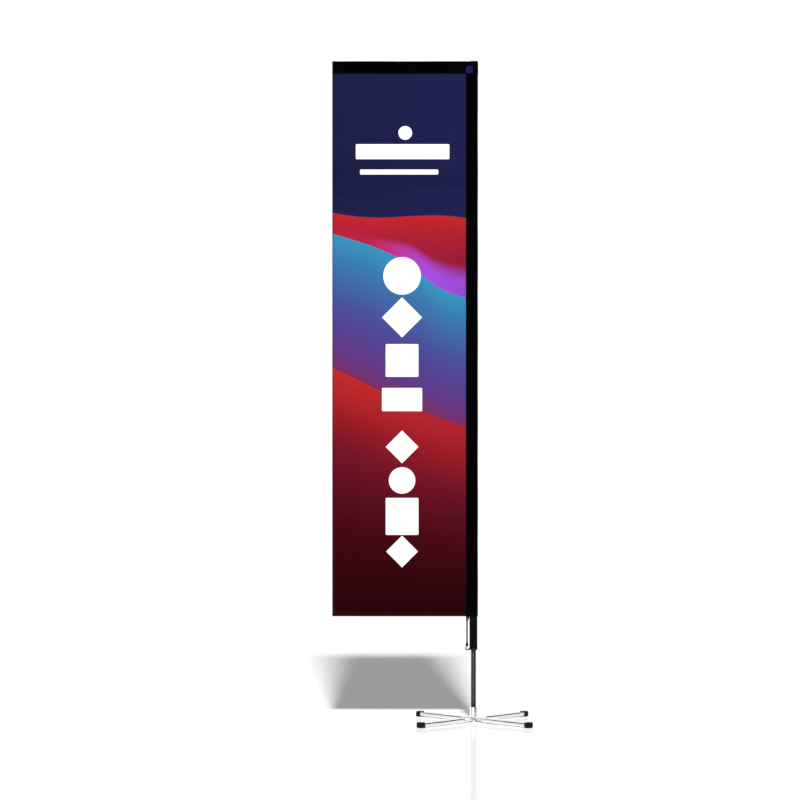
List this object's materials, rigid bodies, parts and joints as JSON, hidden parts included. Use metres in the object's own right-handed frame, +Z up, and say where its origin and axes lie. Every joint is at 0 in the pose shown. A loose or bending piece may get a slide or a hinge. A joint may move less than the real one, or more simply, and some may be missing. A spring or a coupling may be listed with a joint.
{
  "type": "feather flag with pole",
  "caption": "Tall rectangular cloth banner on a sectional pole with a top arm, turning on the ball-bearing spindle of a folding cross base.",
  "frame": {"origin": "the pole's axis at floor level, in the middle of the cross base, at the cap under the hub", "axes": "+Z up along the pole; +X from the cloth's free edge towards the pole, so the cloth hangs at negative X; the printed front faces -Y"},
  "size_m": [0.7502, 0.4324, 2.5],
  "materials": {
    "chrome": "polished",
    "steel": "satin",
    "dark_steel": "satin",
    "ball_cage": "satin",
    "black_tube": "satin",
    "black_plastic": "satin",
    "nylon": "satin",
    "rubber": "matte",
    "black_cloth": "matte",
    "navy_cloth": "matte",
    "printed_cloth": "matte",
    "cord": "matte"
  },
  "bodies": {
    "base": {"base_bar_lower": "chrome", "shoe_back_right": "rubber", "shoe_front_left": "rubber", "pivot_washer": "nylon", "hub": "chrome", "hub_nut": "steel", "hub_nut_cap": "nylon", "bearing_outer_race_lower": "steel", "bearing_outer_race_upper": "steel"},
    "folding_bar": {"base_bar_upper": "chrome", "shoe_front_right": "rubber", "shoe_back_left": "rubber"},
    "ball_cages": {"bearing_ball_cage_lower": "ball_cage", "bearing_ball_cage_upper": "ball_cage"},
    "spindle": {"spindle": "dark_steel", "bearing_inner_race_lower": "steel", "bearing_inner_race_upper": "steel", "bearing_spacer": "steel", "retaining_clip": "steel", "dust_seal": "rubber"},
    "mast": {"pole_section_lower": "black_tube", "pole_section_middle": "black_tube", "pole_section_upper": "black_tube", "pole_coupler_lower": "steel", "pole_coupler_upper": "steel", "pole_foot_ferrule": "black_plastic", "spindle_guide_bush": "nylon", "spindle_stop_plug": "nylon", "elbow_connector": "black_plastic", "top_arm": "black_tube", "arm_tip_cap": "rubber", "sleeve_tab": "black_cloth", "cord_knot": "black_plastic", "tension_cord": "cord", "cord_bead": "black_plastic", "cord_loop": "cord", "tension_hook": "dark_steel", "flag_panel": "printed_cloth", "pole_sleeve": "black_cloth", "top_sleeve": "black_cloth", "corner_patch": "navy_cloth"}
  },
  "joints": [
    {"name": "base_fold", "type": "hinge", "parent": "base", "child": "folding_bar", "pos_m": [0, 0, 0.0157], "axis": [0, 0, 1], "range_deg": [-60, 60]},
    {"name": "spindle_turn", "type": "hinge", "parent": "base", "child": "spindle", "pos_m": [0, 0, 0.0435], "axis": [0, 0, 1], "continuous": true},
    {"name": "cage_turn", "type": "hinge", "parent": "base", "child": "ball_cages", "pos_m": [0, 0, 0.0435], "axis": [0, 0, 1], "continuous": true},
    {"name": "mast_lift", "type": "slide", "parent": "spindle", "child": "mast", "axis": [0, 0, 1], "range_m": [0, 0.1]}
  ],
  "couplings": [
    {"joint": "cage_turn", "follows": "spindle_turn", "ratio": 0.386}
  ]
}
